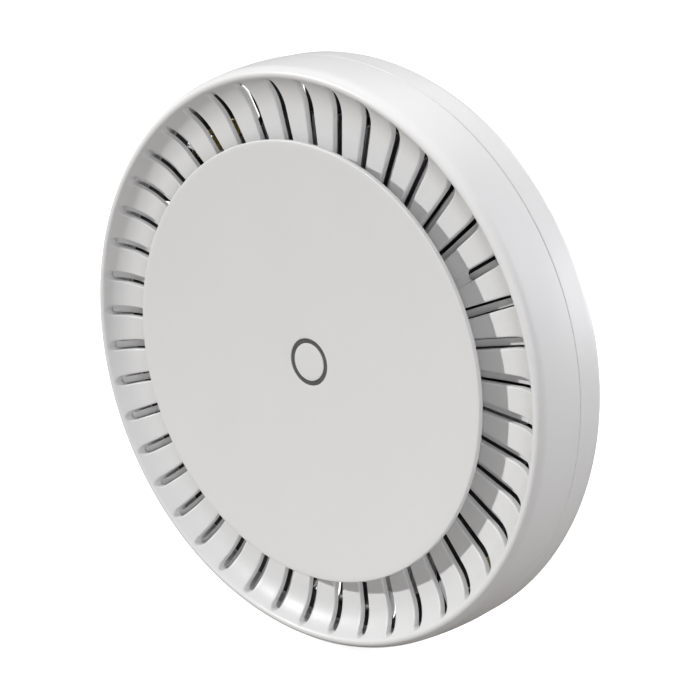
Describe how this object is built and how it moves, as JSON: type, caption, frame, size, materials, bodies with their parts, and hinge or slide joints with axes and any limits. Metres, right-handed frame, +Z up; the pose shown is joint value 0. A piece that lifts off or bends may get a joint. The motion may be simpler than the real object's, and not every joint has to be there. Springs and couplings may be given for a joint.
{
  "type": "ceiling access point",
  "caption": "Round ceiling wireless access point: vented ring round a floating saucer disc, twist-lock mounting bracket behind.",
  "frame": {"origin": "centre of the mounting bracket's flat back, on the wall or ceiling plane", "axes": "the axis of the round body is Y, the front disc faces -Y, +Z is up when the unit hangs on a wall"},
  "size_m": [0.228, 0.0469, 0.228],
  "materials": {
    "shell_white": "fine satin moulded ABS, warm white",
    "disc_white": "fine satin moulded ABS, the smooth front disc",
    "led_smoke": "smoked translucent light ring",
    "clear_guide": "clear polycarbonate light guide",
    "steel": "zinc plated screws",
    "board_green": "solder mask on fibreglass",
    "aluminium": "die cast heat sink",
    "shield_tin": "tin plated shield sheet",
    "chip_black": "epoxy package",
    "thermal_grey": "soft silicone pad",
    "led_yellow": "surface mount LED",
    "can_dark": "sleeved capacitor can",
    "ferrite": "ferrite core",
    "jack_metal": "shielded jack",
    "jack_black": "connector moulding",
    "button_grey": "button plunger",
    "brass": "stamped antenna sheet",
    "cable_black": "coaxial cable jacket",
    "label_silver": "blank film label",
    "bracket_white": "moulded bracket"
  },
  "bodies": {
    "bracket": {"mounting_bracket": "bracket_white"},
    "housing": {"front_shell": "shell_white", "louvre_ring": "shell_white", "front_disc": "disc_white", "led_ring": "led_smoke", "light_guide": "clear_guide", "disc_screws": "steel", "rear_shell": "shell_white", "port_bay": "shell_white", "shell_screws": "steel", "rear_label": "label_silver", "main_board": "board_green", "heat_sink": "aluminium", "board_screws": "steel", "processor_shield": "shield_tin", "radio_shields": "shield_tin", "processor_chip": "chip_black", "radio_chips": "chip_black", "thermal_pads": "thermal_grey", "status_leds": "led_yellow", "capacitors": "can_dark", "power_inductor": "ferrite", "lan_transformers": "chip_black", "ethernet_jack_in": "jack_metal", "ethernet_jack_out": "jack_metal", "power_jack": "jack_black", "reset_switch": "jack_black", "mode_switch": "jack_black", "antenna_1": "brass", "antenna_cable_1": "cable_black", "antenna_2": "brass", "antenna_cable_2": "cable_black", "antenna_3": "brass", "antenna_cable_3": "cable_black", "antenna_4": "brass", "antenna_cable_4": "cable_black"},
    "reset_plunger": {"reset_button": "button_grey"},
    "mode_plunger": {"mode_button": "button_grey"}
  },
  "joints": [
    {"name": "twist_lock", "type": "hinge", "parent": "bracket", "child": "housing", "pos_m": [0, -0.01, 0], "axis": [0, -1, 0], "range_deg": [0, 14]},
    {"name": "reset_press", "type": "slide", "parent": "housing", "child": "reset_plunger", "axis": [0, 0, 1], "range_m": [0, 0.0008], "stiffness_N_per_m": 800},
    {"name": "mode_press", "type": "slide", "parent": "housing", "child": "mode_plunger", "axis": [0, 0, 1], "range_m": [0, 0.0008], "stiffness_N_per_m": 800}
  ]
}
